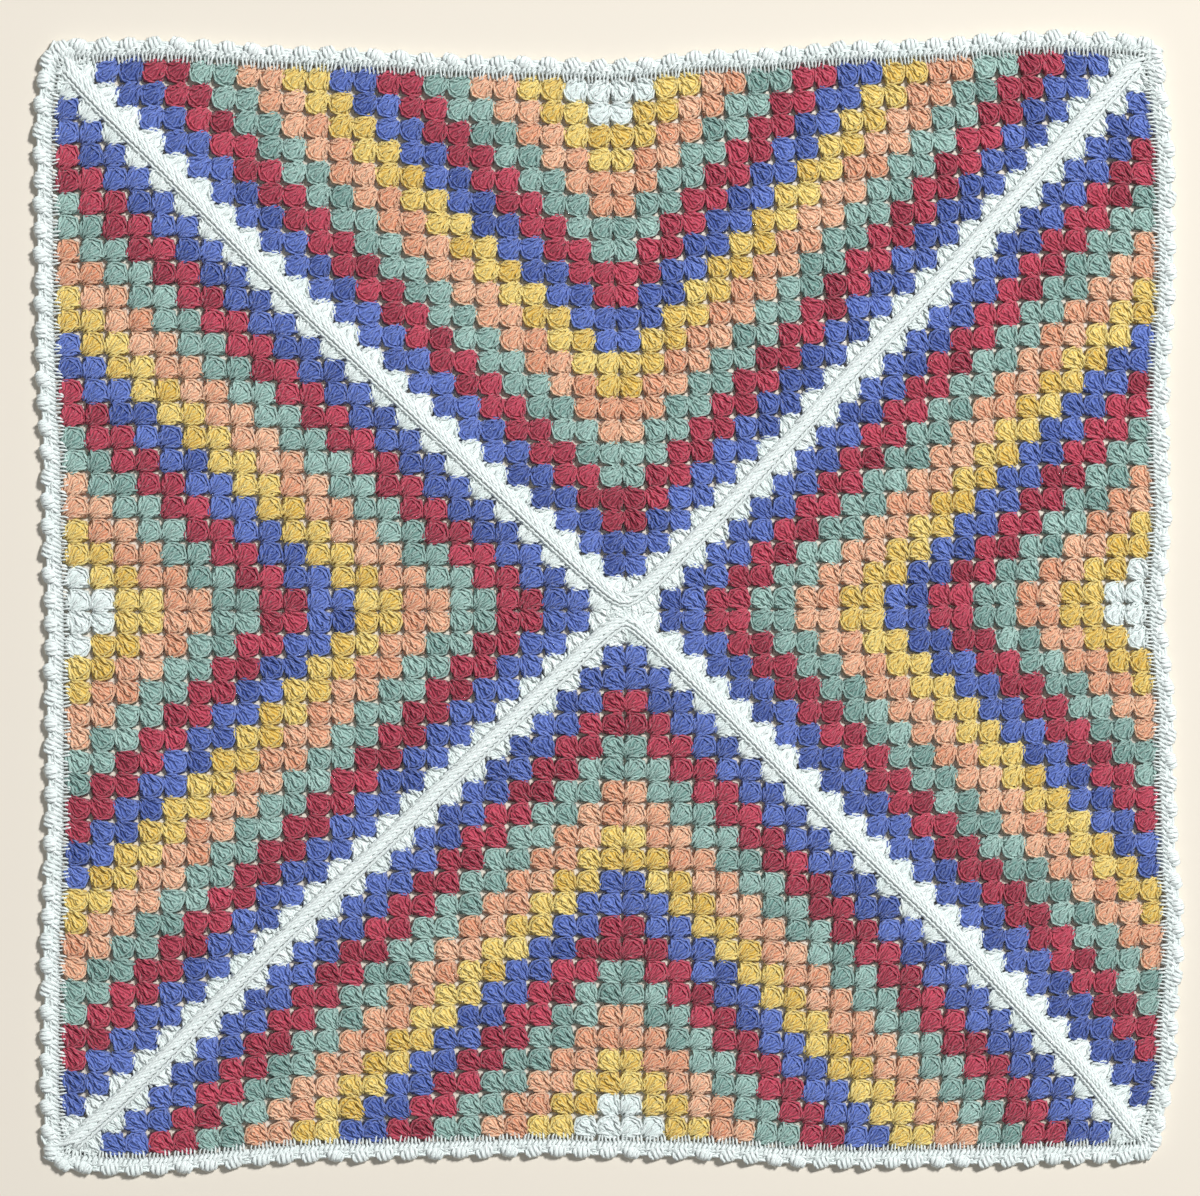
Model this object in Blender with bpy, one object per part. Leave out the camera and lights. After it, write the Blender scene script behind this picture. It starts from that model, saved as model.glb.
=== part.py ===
"""Crochet baby blanket: four half granny squares joined leg to leg, with a bobbled edging all round.

Metres, +Z up. The blanket lies flat with its underside at z = 0 and its origin under the middle of
its outline. +X and +Y run along two of its sides. Each half granny square, here called a panel, starts
at the middle of one side of the blanket and grows in chevron rows towards the point where all four meet.
Everything is first set out on an even square, and then pulled to the uneven outline of the real piece.
"""

import math

import bmesh
import bpy
from mathutils import Matrix, Vector

# Driving sizes
HALF_SIZE = 0.400  # from the middle to the tips of the edging, before the outline is pulled uneven
EDGING_WIDTH = 0.016
PANEL_HALF = HALF_SIZE - EDGING_WIDTH
PIECE_GAP = 0.0003

# Rows: a row of three-treble clusters, counted from the start at the middle of a side
ROW_COUNT = 23
ROW_PITCH = PANEL_HALF / (ROW_COUNT + 0.5)  # along the side; a row is this over root 2 high
ROWS_PER_COLOUR = 2
BAND_ORDER = ["white", "yellow", "peach", "sage", "crimson", "blue"]

# Thickness of the fabric at the foot of a row, at the tops of its stitches, and in the joining row
FOOT_HEIGHT = 0.0036
STITCH_TOP_HEIGHT = 0.0056
JOIN_ROW_HEIGHT = 0.0042
STITCH_TOP_SHARE = 0.2  # how far past its own line, in row pitches, a row is thickest
TIP_CUT = 0.0037  # taken off each sharp end of a panel, inside the edging's corner
BENDS_PER_HALF_PANEL = 4  # lines across the rows, where the rows can follow the uneven outline

# Gaps between clusters: the widest ones, in the two rows next to the white joining row
GAP_ROWS = (ROW_COUNT - 2, ROW_COUNT - 1)
GAP_HALF_LENGTH = 0.0030
GAP_HALF_WIDTH = 0.0022
SOLID_CLUSTERS_AT_ROW_ENDS = 2
CUTTER_HEIGHT = 0.030

# Joining ridges, which stand on the white rows where two panels meet
RIDGE_END_AT_CORNER = 0.012
RIDGE_START = 0.0065  # where an arm starts, out from the meeting point along both x and y
RIDGE_OFFSET = 0.004  # how far the upper and the lower ridge stay clear of the meeting point in y
RIDGE_BENDS = 6
RIDGE_SECTION = [
    # across the ridge, above its foot
    (-0.0046, 0.0000),
    (-0.0042, 0.0017),
    (-0.0017, 0.0034),
    (0.0014, 0.0036),
    (0.0041, 0.0016),
    (0.0046, 0.0000),
]
RIDGE_TAPER_LENGTH = 0.010
RIDGE_TAPER = 0.55

# Edging: one bobble every pitch along the sides, and two round each corner
BOBBLES_PER_SIDE = 44
BOBBLES_PER_CORNER = 2
INNER_CORNER_RADIUS = 0.004
BOBBLE_REACH = 0.0160
NECK_REACH = 0.0125
BOBBLE_HEIGHT = 0.0070
NECK_HEIGHT = 0.0052
EDGING_INNER_HEIGHT = 0.0046
RIM_TUCK = 0.0016  # how far the underside stays back from the rim
CROWN_SET_BACK = 0.0052
BOBBLE_STATIONS = [
    # place along one bobble, share of its full reach and height
    (-0.50, 0.0),
    (-0.22, 1.0),
    (0.22, 1.0),
]

# Outline: how far each side lies outside HALF_SIZE, at stations along it
OUTLINE = {
    "top": [
        (-0.400, 0.000),
        (-0.320, 0.002),
        (-0.200, -0.005),
        (-0.080, -0.011),
        (0.000, -0.014),
        (0.080, -0.007),
        (0.200, 0.000),
        (0.320, 0.007),
        (0.400, 0.003),
    ],
    "bottom": [
        (-0.400, 0.003),
        (-0.340, 0.007),
        (-0.200, -0.003),
        (-0.060, -0.0065),
        (0.040, -0.005),
        (0.160, 0.002),
        (0.260, 0.001),
        (0.340, -0.001),
        (0.400, -0.003),
    ],
    "left": [
        (-0.400, 0.002),
        (-0.340, 0.004),
        (-0.250, 0.004),
        (-0.140, 0.001),
        (-0.020, 0.001),
        (0.080, 0.003),
        (0.200, 0.008),
        (0.340, 0.0085),
        (0.400, 0.004),
    ],
    "right": [
        (-0.400, -0.008),
        (-0.320, 0.004),
        (-0.235, 0.009),
        (-0.150, 0.004),
        (-0.080, 0.003),
        (0.000, -0.004),
        (0.060, 0.000),
        (0.140, -0.0015),
        (0.230, 0.0035),
        (0.300, 0.003),
        (0.400, -0.006),
    ],
}
# Where the upright middle line runs in x at the bottom, the meeting point and the top,
# and where the level middle line runs in y at the left, the meeting point and the right
MIDDLE_X = [(-0.400, 0.008), (0.000, 0.0117), (0.400, 0.001)]
MIDDLE_Y = [(-0.400, -0.006), (0.000, -0.0053), (0.400, -0.0005)]

# Yarn colours, linear
YARNS = {
    "white": (0.80, 0.86, 0.84),
    "yellow": (0.80, 0.53, 0.10),
    "peach": (0.82, 0.35, 0.20),
    "sage": (0.21, 0.42, 0.36),
    "crimson": (0.38, 0.028, 0.075),
    "blue": (0.075, 0.13, 0.56),
}
YARN_ROUGHNESS = 0.85


def clear_scene():
    """Removes whatever the startup scene holds."""
    for thing in list(bpy.data.objects):
        bpy.data.objects.remove(thing)


def new_collection(name):
    """A new collection in the scene."""
    collection = bpy.data.collections.new(name)
    bpy.context.scene.collection.children.link(collection)
    return collection


def yarn_materials():
    """One matt material for each yarn colour, in the order of BAND_ORDER."""
    made = []
    for name in BAND_ORDER:
        material = bpy.data.materials.new(f"{name}_yarn")
        material.use_nodes = True
        shader = material.node_tree.nodes["Principled BSDF"]
        shader.inputs["Base Color"].default_value = (*YARNS[name], 1.0)
        shader.inputs["Roughness"].default_value = YARN_ROUGHNESS
        shader.inputs["Metallic"].default_value = 0.0
        made.append(material)
    return made


def smoothed(table, station):
    """The value of a table at a station, eased between the two rows on either side of it."""
    station = min(max(station, table[0][0]), table[-1][0])
    for (before, low), (after, high) in zip(table, table[1:]):
        if station <= after:
            share = (station - before) / (after - before)
            return low + (high - low) * share * share * (3 - 2 * share)
    return table[-1][1]


def pulled(x, y):
    """Where a point of the even square lies once the blanket has its real, uneven outline."""
    side = OUTLINE["right" if x > 0 else "left"]
    end = OUTLINE["top" if y > 0 else "bottom"]
    to_side = x / HALF_SIZE
    to_end = y / HALF_SIZE
    new_x = x + to_side * smoothed(side, y) + smoothed(MIDDLE_X, y) * (1 - to_side**2)
    new_y = y + to_end * smoothed(end, x) + smoothed(MIDDLE_Y, x) * (1 - to_end**2)
    return new_x, new_y


def pull_to_outline(mesh, quarter_turns=0):
    """Turns a bmesh of the even square by quarter turns about the middle and pulls it to the outline."""
    bmesh.ops.rotate(mesh, verts=mesh.verts, matrix=Matrix.Rotation(quarter_turns * math.pi / 2, 3, "Z"))
    for vertex in mesh.verts:
        vertex.co.x, vertex.co.y = pulled(vertex.co.x, vertex.co.y)


def to_object(mesh, name, collection, materials):
    """Turns a closed bmesh into a named object with outward faces."""
    bmesh.ops.recalc_face_normals(mesh, faces=mesh.faces)
    data = bpy.data.meshes.new(name)
    mesh.to_mesh(data)
    mesh.free()
    for material in materials:
        data.materials.append(material)
    thing = bpy.data.objects.new(name, data)
    collection.objects.link(thing)
    return thing


def row_at(x, y):
    """The row of the top panel at a point of the even square: 1.0 on the line of the first row."""
    return (abs(x) + PANEL_HALF - y) / ROW_PITCH


def fabric_height(row):
    """Thickness of a panel at a place between rows: low at a row's foot, high at its stitch tops."""
    if row > ROW_COUNT - 0.5 - STITCH_TOP_SHARE / 2:
        return JOIN_ROW_HEIGHT
    from_foot = (row + 0.5) % 1.0
    top = 0.5 + STITCH_TOP_SHARE
    share = from_foot / top if from_foot < top else (1 - from_foot) / (1 - top)
    return FOOT_HEIGHT + (STITCH_TOP_HEIGHT - FOOT_HEIGHT) * share


def band_of(row):
    """Index in BAND_ORDER of the yarn that a row is worked in. White is used again for the last row."""
    band = (max(round(row), 1) - 1) // ROWS_PER_COLOUR
    if round(row) >= ROW_COUNT or band == 0:
        return 0
    return 1 + (band - 1) % (len(BAND_ORDER) - 1)


def split(mesh, place, normal):
    """Splits every face of a bmesh along one plane."""
    everything = mesh.verts[:] + mesh.edges[:] + mesh.faces[:]
    bmesh.ops.bisect_plane(mesh, geom=everything, plane_co=place, plane_no=normal, dist=1e-7)


def split_half_panel(mesh):
    """Splits the half panel along the foot and the stitch tops of each row, and at its bends."""
    across_rows = Vector((1, -1, 0)).normalized()
    for row in range(1, ROW_COUNT + 1):
        for line in (row - 0.5, row + STITCH_TOP_SHARE):
            if row < ROW_COUNT or line < row:
                split(mesh, Vector((0, PANEL_HALF - line * ROW_PITCH, 0)), across_rows)
    for bend in range(1, BENDS_PER_HALF_PANEL + 1):
        share = bend / (BENDS_PER_HALF_PANEL + 1)
        split(mesh, Vector((share * PANEL_HALF, 0, 0)), Vector((1, 0, 0)))


def panel_mesh():
    """The top panel on the even square: chevron rows on its face and a flat underside."""
    mesh = bmesh.new()
    leg_start = PIECE_GAP / math.sqrt(2)
    tip = PANEL_HALF - TIP_CUT
    outline = [(0, leg_start), (tip, tip + leg_start), (tip, PANEL_HALF), (0, PANEL_HALF)]
    mesh.faces.new([mesh.verts.new((x, y, 0)) for x, y in outline])
    split_half_panel(mesh)
    everything = mesh.verts[:] + mesh.edges[:] + mesh.faces[:]
    bmesh.ops.mirror(mesh, geom=everything, matrix=Matrix.Identity(4), merge_dist=1e-6, axis="X")
    for face in mesh.faces:
        centre = face.calc_center_median()
        face.material_index = band_of(row_at(centre.x, centre.y))
    for vertex in mesh.verts:
        vertex.co.z = fabric_height(row_at(vertex.co.x, vertex.co.y))
    rim = [edge for edge in mesh.edges if edge.is_boundary]
    skirt = bmesh.ops.extrude_edge_only(mesh, edges=rim)["geom"]
    for item in skirt:
        if isinstance(item, bmesh.types.BMVert):
            item.co.z = 0
    foot = [item for item in skirt if isinstance(item, bmesh.types.BMEdge) and item.is_boundary]
    bmesh.ops.edgeloop_fill(mesh, edges=foot)
    return mesh


def gap_cutter_mesh():
    """Upright diamond prisms where the widest gaps of the top panel lie, between clusters of a row."""
    mesh = bmesh.new()
    for row in GAP_ROWS:
        for step in range(SOLID_CLUSTERS_AT_ROW_ENDS, row - SOLID_CLUSTERS_AT_ROW_ENDS + 1):
            for side in (-1, 1):
                x = side * step * ROW_PITCH
                y = PANEL_HALF - (row - step) * ROW_PITCH
                place = Matrix.Translation((x, y, 0))
                turn = Matrix.Rotation(side * math.pi / 4, 4, "Z")
                size = Matrix.Diagonal((GAP_HALF_LENGTH, GAP_HALF_WIDTH, 1, 1))
                bmesh.ops.create_cone(
                    mesh,
                    cap_ends=True,
                    segments=4,
                    radius1=1,
                    radius2=1,
                    depth=CUTTER_HEIGHT,
                    matrix=place @ turn @ size,
                )
    return mesh


def make_panel(name, quarter_turns, collections, materials):
    """One half granny square with its widest gaps cut through."""
    mesh = panel_mesh()
    pull_to_outline(mesh, quarter_turns)
    bmesh.ops.triangulate(mesh, faces=mesh.faces)
    panel = to_object(mesh, name, collections["blanket"], materials)

    mesh = gap_cutter_mesh()
    pull_to_outline(mesh, quarter_turns)
    cutter = to_object(mesh, f"{name}_gap_cutter", collections["cutters"], [])
    cutter.hide_render = True
    cutter.display_type = "WIRE"

    cut = panel.modifiers.new("gaps", "BOOLEAN")
    cut.operation = "DIFFERENCE"
    cut.solver = "EXACT"
    cut.object = cutter
    return panel


def loft(sections, closed):
    """A closed solid through a list of sections of equal point count, as a ring or with two flat ends."""
    mesh = bmesh.new()
    rings = [[mesh.verts.new(point) for point in section] for section in sections]
    pairs = list(zip(rings, rings[1:]))
    if closed:
        pairs.append((rings[-1], rings[0]))
    for ring, following in pairs:
        for index in range(len(ring)):
            after = (index + 1) % len(ring)
            mesh.faces.new((ring[index], ring[after], following[after], following[index]))
    if not closed:
        mesh.faces.new(rings[0])
        mesh.faces.new(reversed(rings[-1]))
    return mesh


def arm_line(arm, offset):
    """Points and sizes along one arm of a ridge, from beside the meeting point out to a corner."""
    end = PANEL_HALF - RIDGE_END_AT_CORNER
    places = [RIDGE_START + (end - RIDGE_START) * bend / RIDGE_BENDS for bend in range(RIDGE_BENDS)]
    places += [end - RIDGE_TAPER_LENGTH, end]
    line = []
    for place in places:
        size = RIDGE_TAPER if place == end else 1.0
        line.append((*pulled(arm[0] * place, arm[1] * (place + offset * (1 - place / end))), size))
    return line


def ridge_sections(arms, offset):
    """Sections of a ridge that runs from one corner to beside the meeting point and out to another."""
    line = list(reversed(arm_line(arms[0], offset))) + arm_line(arms[1], offset)
    foot = JOIN_ROW_HEIGHT + PIECE_GAP
    sections = []
    for index, (x, y, size) in enumerate(line):
        before = Vector(line[max(index - 1, 0)][:2])
        after = Vector(line[min(index + 1, len(line) - 1)][:2])
        along = (after - before).normalized()
        across = Vector((-along.y, along.x))
        places = [(Vector((x, y)) + across * side * size, up) for side, up in RIDGE_SECTION]
        sections.append([(place.x, place.y, foot + up * size) for place, up in places])
    return sections


def make_join(name, arms, collections, materials):
    """One of the two raised white ridges, each worked in one go along two legs of the cross."""
    mesh = loft(ridge_sections(arms, RIDGE_OFFSET), closed=False)
    return to_object(mesh, name, collections["blanket"], materials)


def edging_stations():
    """Foot point on the panels' edge, outward direction and bobble share, once round anticlockwise."""
    inner = PANEL_HALF + PIECE_GAP
    straight = inner - INNER_CORNER_RADIUS
    pitch = 2 * straight / BOBBLES_PER_SIDE
    stations = []
    for side in range(4):
        turn = Matrix.Rotation(side * math.pi / 2, 2)
        for bobble in range(BOBBLES_PER_SIDE):
            for place, share in BOBBLE_STATIONS:
                along = -straight + (bobble + 0.5 + place) * pitch
                stations.append((turn @ Vector((inner, along)), turn @ Vector((1, 0)), share))
        centre = Vector((straight, straight))
        for bobble in range(BOBBLES_PER_CORNER):
            for place, share in BOBBLE_STATIONS:
                angle = (bobble + 0.5 + place) / BOBBLES_PER_CORNER * math.pi / 2
                outward = Vector((math.cos(angle), math.sin(angle)))
                foot = centre + outward * INNER_CORNER_RADIUS
                stations.append((turn @ foot, turn @ outward, share))
    return stations


def edging_section(foot, outward, share):
    """Points of the edging's section at one station, from its inner foot round to its inner top."""
    reach = NECK_REACH + (BOBBLE_REACH - NECK_REACH) * share
    height = NECK_HEIGHT + (BOBBLE_HEIGHT - NECK_HEIGHT) * share
    outline = [
        (0, 0),
        (reach - RIM_TUCK, 0),
        (reach, 0.45 * height),
        (reach - CROWN_SET_BACK, height),
        (0, EDGING_INNER_HEIGHT),
    ]
    return [(*pulled(*(foot + outward * out)), up) for out, up in outline]


def make_edging(collections, materials):
    """The white edging, one ring worked round the joined panels, with a bobble every pitch."""
    sections = [edging_section(*station) for station in edging_stations()]
    return to_object(loft(sections, closed=True), "edging", collections["blanket"], materials)


def main():
    """Builds the blanket: four panels, two joining ridges and the edging."""
    clear_scene()
    collections = {
        "blanket": new_collection("crochet_baby_blanket"),
        "cutters": new_collection("cutters"),
    }
    materials = yarn_materials()
    white = materials[:1]
    for quarter_turns, side in enumerate(("top", "left", "bottom", "right")):
        make_panel(f"panel_{side}", quarter_turns, collections, materials)
    make_join("upper_join", [(-1, 1), (1, 1)], collections, white)
    make_join("lower_join", [(1, -1), (-1, -1)], collections, white)
    make_edging(collections, white)


main()
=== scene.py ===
"""Crochet baby blanket: four half granny squares, their joining ridges and the edging, in worked yarn.

Metres, +Z up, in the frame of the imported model. Every strand of yarn is a tube laid along its own path.
Clusters, bobbles and joining stitches are each drawn a few times over, and copies of them are set out on
an even square and then pulled to the blanket's uneven outline.
"""

from __future__ import annotations

import logging
import math
import random
from dataclasses import dataclass
from enum import Enum
from typing import Any

import bmesh
import bpy
from mathutils import Matrix, Vector

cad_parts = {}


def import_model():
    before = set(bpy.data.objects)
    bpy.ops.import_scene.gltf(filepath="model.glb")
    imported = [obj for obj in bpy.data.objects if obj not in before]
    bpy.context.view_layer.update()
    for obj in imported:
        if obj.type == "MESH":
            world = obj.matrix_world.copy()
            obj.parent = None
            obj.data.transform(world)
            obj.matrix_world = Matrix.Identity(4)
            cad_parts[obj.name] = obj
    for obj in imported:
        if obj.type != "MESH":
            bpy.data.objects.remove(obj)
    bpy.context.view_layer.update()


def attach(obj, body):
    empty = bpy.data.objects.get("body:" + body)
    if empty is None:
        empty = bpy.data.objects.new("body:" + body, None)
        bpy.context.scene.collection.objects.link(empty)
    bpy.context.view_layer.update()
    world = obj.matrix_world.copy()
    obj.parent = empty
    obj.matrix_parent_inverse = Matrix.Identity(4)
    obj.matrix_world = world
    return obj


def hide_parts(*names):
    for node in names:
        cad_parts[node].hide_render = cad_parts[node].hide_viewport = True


log = logging.getLogger("crochet_baby_blanket")

Materials = list[bpy.types.Material]
Drawing = tuple[bpy.types.Mesh, bpy.types.Mesh]
Drawings = list[Drawing]

MM = 0.001
UP = Vector((0.0, 0.0, 1.0))
UV_NAME = "yarn"
# mixes a yarn from deep to light: each cluster's random tone, with painted shade and painted light on some
# parts
SHADE_NAME = "shade"
STRAND_SIDES = 4
END_BULGE = 0.7  # how far a strand's blunt end stands out, as a share of its radius
HALF_TURN = 0.5  # in a UV map's turns round the strand
PAD_RINGS = 4  # rings of faces from the top of a pad to its underside
NEAR_POLE = 0.01  # points of a pad this near its axis have no side to move to
WAIST_DEPTH = 0.5  # how far down its lower half a pad has its full waist
FAN_RADIUS = 36 * MM  # how far out a pad's strokes are as far apart as a strand's plies are long
CORE_SIDES = 6  # of the thick cores under the strands
ROUND_SIDES = 8  # of the edging's pads, which are oval
ROUND_POWER = 2.0

# Sockets that share a name with others of their node, by number
VALUE, FACTOR, ADDEND = 0, 1, 2  # of a Multiply Add node
MIX_FACTOR, MIX_LOW, MIX_HIGH, MIX_RESULT = 0, 6, 7, 2  # of a colour Mix node


def linear(code: str) -> tuple[float, float, float, float]:
    """Turns an sRGB hex colour to the linear colour that shaders take.

    Args:
        code: Six hex digits, red first.

    Returns:
        Linear red, green, blue and an alpha of 1.
    """
    parts = [int(code[place : place + 2], 16) / 255 for place in (0, 2, 4)]
    red, green, blue = (p / 12.92 if p <= 0.04045 else ((p + 0.055) / 1.055) ** 2.4 for p in parts)
    return red, green, blue, 1.0


def add_node(tree: bpy.types.NodeTree, kind: str, settings: dict[Any, Any], links: dict[Any, Any]) -> Any:
    """Adds a node to a tree, with its settings and what feeds its inputs.

    Args:
        tree: The node tree.
        kind: The node's type.
        settings: Values by the name of an attribute of the node, or the name or number of an input.
        links: Sockets that feed the node, by the name or number of the input.

    Returns:
        The new node.
    """
    node = tree.nodes.new(kind)
    for name, value in settings.items():
        if isinstance(name, str) and hasattr(node, name):
            setattr(node, name, value)
        else:
            node.inputs[name].default_value = value
    for name, socket in links.items():
        tree.links.new(socket, node.inputs[name])
    return node


class Yarn(Enum):
    """The six yarns, numbered as a panel's material slots are."""

    WHITE = 0
    YELLOW = 1
    PEACH = 2
    SAGE = 3
    CRIMSON = 4
    BLUE = 5


@dataclass(frozen=True)
class YarnFinish:
    """Soft acrylic yarn of aran weight: matt, a little fuzzy, with its plies showing as slanted strokes."""

    name: str
    # light is the yarn lit, and deep the same yarn in painted shade
    light: str
    deep: str
    roughness: float = 0.9
    specular: float = 0.25
    sheen: float = 0.25
    sheen_roughness: float = 0.6
    ply_length: float = 5.0 * MM  # how far along a strand its plies take to move on by one
    plies: int = 3
    wander_size: float = 4.0 * MM  # of the slow bends in the plies
    wander: float = 7.0  # radians that the bends shift the plies by
    fibre_size: float = 0.9 * MM  # real fibres are far finer, and wouldn't show
    fibre_detail: float = 2.0
    fibre_roughness: float = 0.6
    fray: float = 2.2  # radians that the fibres shift the plies by
    fibre_height: float = 0.4  # of the fibres, where the plies' height is 1
    relief: float = 0.7 * MM
    relief_strength: float = 0.9
    ply_painted_shade: float = 0.55  # how much of the way from deep to light a ply covers, crown over groove: painted shade in the grooves

    def material(self) -> bpy.types.Material:
        """Builds the yarn's material.

        Returns:
            A material whose colour and relief follow the strand by its UV map.
        """
        material = bpy.data.materials.new(self.name)
        material.use_nodes = True
        tree = material.node_tree
        shader = tree.nodes["Principled BSDF"]
        for socket, value in (
            ("Roughness", self.roughness),
            ("Specular IOR Level", self.specular),
            ("Sheen Weight", self.sheen),
            ("Sheen Roughness", self.sheen_roughness),
        ):
            shader.inputs[socket].default_value = value

        place = add_node(tree, "ShaderNodeUVMap", {"uv_map": UV_NAME}, {})
        where = {"Vector": add_node(tree, "ShaderNodeTexCoord", {}, {}).outputs["Object"]}
        fuzz = {"Scale": 1 / self.fibre_size, "Detail": self.fibre_detail}
        fibre = add_node(tree, "ShaderNodeTexNoise", fuzz | {"Roughness": self.fibre_roughness}, where)
        turn = add_node(
            tree,
            "ShaderNodeVectorMath",
            {"operation": "DOT_PRODUCT", 1: (math.tau / self.ply_length, math.tau * self.plies, 0.0)},
            {0: place.outputs["UV"]},
        )
        wander = add_node(tree, "ShaderNodeTexNoise", {"Scale": 1 / self.wander_size}, where)
        bent = add_node(
            tree,
            "ShaderNodeMath",
            {"operation": "MULTIPLY_ADD", FACTOR: self.wander},
            {VALUE: wander.outputs["Fac"], ADDEND: turn.outputs["Value"]},
        )
        frayed = add_node(
            tree,
            "ShaderNodeMath",
            {"operation": "MULTIPLY_ADD", FACTOR: self.fray},
            {VALUE: fibre.outputs["Fac"], ADDEND: bent.outputs["Value"]},
        )
        ply = add_node(tree, "ShaderNodeMath", {"operation": "SINE"}, {VALUE: frayed.outputs["Value"]})
        groove = add_node(tree, "ShaderNodeMapRange", {"From Min": -1.0}, {"Value": ply.outputs["Value"]})
        shade = add_node(tree, "ShaderNodeAttribute", {"attribute_name": SHADE_NAME}, {})
        # painted shade: the plies' grooves darkened towards deep, added to the shade attribute
        tone = add_node(
            tree,
            "ShaderNodeMath",
            {"operation": "MULTIPLY_ADD", FACTOR: self.ply_painted_shade},
            {VALUE: groove.outputs["Result"], ADDEND: shade.outputs["Fac"]},
        )
        colour = add_node(
            tree,
            "ShaderNodeMix",
            {"data_type": "RGBA", MIX_LOW: linear(self.deep), MIX_HIGH: linear(self.light)},
            {MIX_FACTOR: tone.outputs["Value"]},
        )
        tree.links.new(colour.outputs[MIX_RESULT], shader.inputs["Base Color"])

        height = add_node(
            tree,
            "ShaderNodeMath",
            {"operation": "MULTIPLY_ADD", FACTOR: self.fibre_height},
            {VALUE: fibre.outputs["Fac"], ADDEND: groove.outputs["Result"]},
        )
        bump = add_node(
            tree,
            "ShaderNodeBump",
            {"Strength": self.relief_strength, "Distance": self.relief},
            {"Height": height.outputs["Value"]},
        )
        tree.links.new(bump.outputs["Normal"], shader.inputs["Normal"])
        return material


# Light is the yarn's colour lit on the crown of a strand, and deep the same yarn in painted shade, as
# between the plies and on the cushions under the strands. White yarn shows less of its plies than the dyed
# ones, so it has half their relief.
FINISHES = {
    Yarn.WHITE: YarnFinish("white_acrylic_yarn", light="f0f7f5", deep="d9e6e3", relief=0.35 * MM),
    Yarn.YELLOW: YarnFinish("yellow_acrylic_yarn", light="ffec98", deep="d6a93a"),
    Yarn.PEACH: YarnFinish("peach_acrylic_yarn", light="ffd6b4", deep="d88b66"),
    Yarn.SAGE: YarnFinish("sage_acrylic_yarn", light="bcdcd3", deep="5f8881"),
    Yarn.CRIMSON: YarnFinish("crimson_acrylic_yarn", light="de566f", deep="73142b"),
    Yarn.BLUE: YarnFinish("blue_acrylic_yarn", light="7b95e4", deep="223a82"),
}


@dataclass(frozen=True)
class Outline:
    """The even square that the work is set out on, and how it is pulled to the real outline.

    Each table gives how far a side lies outside the square, at stations along it. The middle lines are
    the upright one's x at the bottom, meeting point and top, and the level one's y from left to right.
    """

    half_size: float = 0.4
    edging_width: float = 0.016
    rows: int = 23
    top: tuple = (
        (-0.4, 0.0), (-0.32, 0.002), (-0.2, -0.005), (-0.08, -0.011),
        (0.0, -0.014), (0.08, -0.007), (0.2, 0.0), (0.32, 0.007),
        (0.4, 0.003),
    )
    bottom: tuple = (
        (-0.4, 0.003), (-0.34, 0.007), (-0.2, -0.003), (-0.06, -0.0065),
        (0.04, -0.005), (0.16, 0.002), (0.26, 0.001), (0.34, -0.001),
        (0.4, -0.003),
    )
    left: tuple = (
        (-0.4, 0.002), (-0.34, 0.004), (-0.25, 0.004), (-0.14, 0.001),
        (-0.02, 0.001), (0.08, 0.003), (0.2, 0.008), (0.34, 0.0085),
        (0.4, 0.004),
    )
    right: tuple = (
        (-0.4, -0.008), (-0.32, 0.004), (-0.235, 0.009), (-0.15, 0.004),
        (-0.08, 0.003), (0.0, -0.004), (0.06, 0.0), (0.14, -0.0015),
        (0.23, 0.0035), (0.3, 0.003), (0.4, -0.006),
    )
    middle_x: tuple = ((-0.4, 0.008), (0.0, 0.0117), (0.4, 0.001))
    middle_y: tuple = ((-0.4, -0.006), (0.0, -0.0053), (0.4, -0.0005))

    @property
    def panel_half(self) -> float:
        """From the middle of the even square to where the edging starts."""
        return self.half_size - self.edging_width

    @property
    def row_pitch(self) -> float:
        """Distance between clusters along the sides of the even square."""
        return self.panel_half / (self.rows + 0.5)

    @staticmethod
    def smoothed(table: tuple, station: float) -> float:
        """Reads a table at a station, eased between the two rows on either side of it.

        Args:
            table: Rows of a station and a value.
            station: Where to read it.

        Returns:
            The value there.
        """
        station = min(max(station, table[0][0]), table[-1][0])
        for (before, low), (after, high) in zip(table, table[1:]):
            if station <= after:
                share = (station - before) / (after - before)
                return low + (high - low) * share * share * (3 - 2 * share)
        return table[-1][1]

    def pulled(self, x: float, y: float) -> tuple[float, float]:
        """Moves a point of the even square to where it lies on the real blanket.

        Args:
            x: Place across the even square.
            y: Place up the even square.

        Returns:
            The point's place on the blanket.
        """
        side = self.right if x > 0 else self.left
        end = self.top if y > 0 else self.bottom
        to_side = x / self.half_size
        to_end = y / self.half_size
        new_x = x + to_side * self.smoothed(side, y) + self.smoothed(self.middle_x, y) * (1 - to_side**2)
        new_y = y + to_end * self.smoothed(end, x) + self.smoothed(self.middle_y, x) * (1 - to_end**2)
        return new_x, new_y


def frames_along(path: list[Vector]) -> list[Matrix]:
    """Finds a frame at each point of a path, its Z along the path, carried on with no twist.

    Args:
        path: The points, none of them repeated.

    Returns:
        One matrix a point.
    """
    frames = []
    up = UP
    for index, point in enumerate(path):
        along = (path[min(index + 1, len(path) - 1)] - path[max(index - 1, 0)]).normalized()
        side = up.cross(along).normalized()
        up = along.cross(side)
        frame = Matrix((side, up, along)).transposed().to_4x4()
        frames.append(Matrix.Translation(point) @ frame)
    return frames


def steps(count: int, start: float = 0.0) -> list[float]:
    """Even shares of a strand's points, from a start of 0 or -1 to 1."""
    return [(1 - start) * step / (count - 1) + start for step in range(count)]


def scatter(rng: random.Random, reach: float) -> float:
    """Draws a small difference, up to a reach either way, in millimetres turned to metres."""
    return rng.uniform(-reach, reach) * MM


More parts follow.
